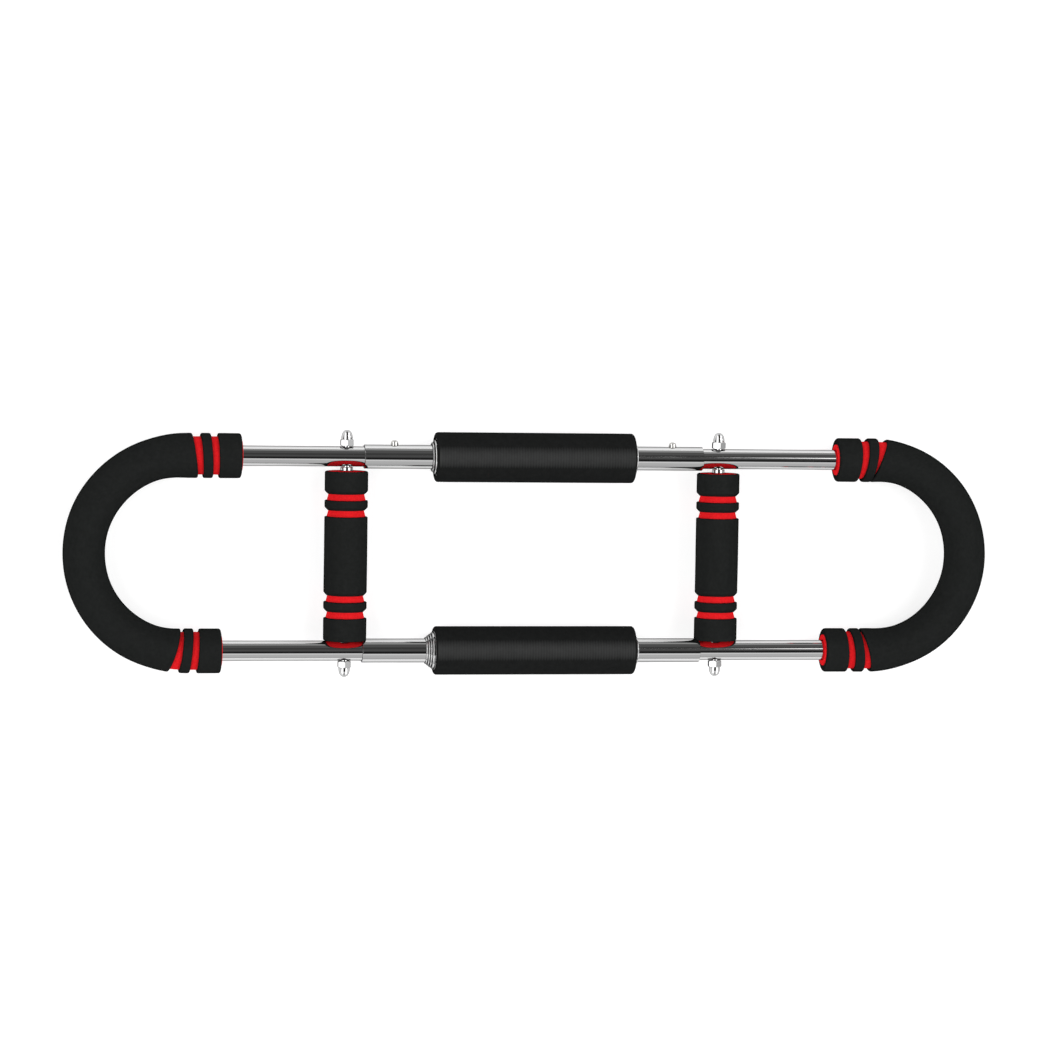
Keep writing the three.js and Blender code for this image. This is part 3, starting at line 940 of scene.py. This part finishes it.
def make_studio():
    """Soft light all round: bright panels at both ends, and bands along the tubes for their chrome to
    mirror."""
    world = bpy.data.worlds.new("studio")
    world.use_nodes = True
    bpy.context.scene.world = world
    nodes = world.node_tree.nodes
    links = world.node_tree.links
    background = nodes["Background"]
    direction = nodes.new("ShaderNodeTexCoord").outputs["Generated"]
    parts = nodes.new("ShaderNodeSeparateXYZ")
    links.new(direction, parts.inputs[0])

    def math_node(operation, *values):
        node = nodes.new("ShaderNodeMath")
        node.operation = operation
        for n, value in enumerate(values):
            if isinstance(value, (int, float)):
                node.inputs[n].default_value = value
            else:
                links.new(value, node.inputs[n])
        return node.outputs[0]

    def ranged(value, from_lo, from_hi, lo, hi):
        node = nodes.new("ShaderNodeMapRange")
        links.new(value, node.inputs["Value"])
        for socket, number in zip(("From Min", "From Max", "To Min", "To Max"), (from_lo, from_hi, lo, hi)):
            node.inputs[socket].default_value = number
        return node.outputs["Result"]

    # The angle from straight up towards +Y, as a share of the half circle from -Y to +Y.
    angle = math_node("ARCTAN2", parts.outputs["Y"], parts.outputs["Z"])
    share = ranged(angle, -math.pi / 2, math.pi / 2, 0, 1)
    ramp = nodes.new("ShaderNodeValToRGB")
    bands = [(-90, 0.28), (-75, 0.29), (-60, 0.33), (-43, 0.32), (-37, 0.46), (-30, 0.46), (-24, 0.02)]
    bands += [(-18, 0.005), (-11, 0.006), (-5, 0.028), (4, 0.050), (15, 0.046), (24, 0.026), (34, 0.036)]
    bands += [(44, 0.060), (54, 0.056), (64, 0.054), (70, 0.190), (82, 0.190), (90, 0.160)]
    elements = ramp.color_ramp.elements
    elements.remove(elements[1])
    for i, (degrees, level) in enumerate(bands):
        position = (degrees + 90) / 180
        element = elements[0] if i == 0 else elements.new(position)
        element.color = (level, level, level, 1)
    links.new(share, ramp.inputs["Fac"])
    tube_bands = math_node("MULTIPLY", ramp.outputs["Color"], 2.0)
    endwards = math_node("ABSOLUTE", parts.outputs["X"])
    inner_edge = ranged(endwards, 0.33, 0.45, 0, 1)
    outer_edge = ranged(endwards, 0.74, 0.86, 1, 0.3)
    lower_edge = ranged(parts.outputs["Z"], 0.1, 0.4, 0, 1)
    panel = math_node("MULTIPLY", math_node("MULTIPLY", inner_edge, outer_edge), lower_edge)
    end_light = 3.0
    difference = math_node("SUBTRACT", end_light, tube_bands)
    tube_bands = math_node("ADD", tube_bands, math_node("MULTIPLY", difference, panel))
    # A strip light that only the right handle's tubes mirror.
    strip_at = math.radians(19.5)
    aside = math_node("ABSOLUTE", math_node("SUBTRACT", angle, strip_at))
    strip = ranged(aside, math.radians(3), math.radians(7), 1, 0)
    strip = math_node("MULTIPLY", strip, ranged(parts.outputs["X"], 0.222, 0.245, 0, 1))
    strip_light = 1.8
    level = math_node("ADD", tube_bands, math_node("MULTIPLY", strip, strip_light))
    seen = nodes.new("ShaderNodeLightPath").outputs["Is Camera Ray"]
    backdrop = 0.92
    shown = math_node("ADD", level, math_node("MULTIPLY", math_node("SUBTRACT", backdrop, level), seen))
    links.new(shown, background.inputs["Strength"])
    background.inputs["Color"].default_value = (1, 1, 1, 1)


def make_camera():
    """Looks almost straight down, from over the left half of the object and a little towards +Y."""
    tube_height = 0.01975
    place = Vector((-0.5308, 0.2351, 3.0266 + tube_height))
    aim = Vector((-0.00657, 0.0233, tube_height))
    roll = math.radians(0.92)
    data = bpy.data.cameras.new("camera")
    data.lens = 132.5
    data.sensor_width = 36
    camera = bpy.data.objects.new("camera", data)
    bpy.context.scene.collection.objects.link(camera)
    forward = (aim - place).normalized()
    right = forward.cross(Vector((0, 1, 0))).normalized()
    above = right.cross(forward)
    turned_right = right * math.cos(roll) + above * math.sin(roll)
    turned_above = above * math.cos(roll) - right * math.sin(roll)
    turn = Matrix((turned_right, turned_above, -forward)).transposed()
    camera.matrix_world = Matrix.Translation(place) @ turn.to_4x4()
    bpy.context.scene.camera = camera


make_floor()
make_studio()
make_camera()
bpy.context.scene.view_settings.view_transform = "Standard"
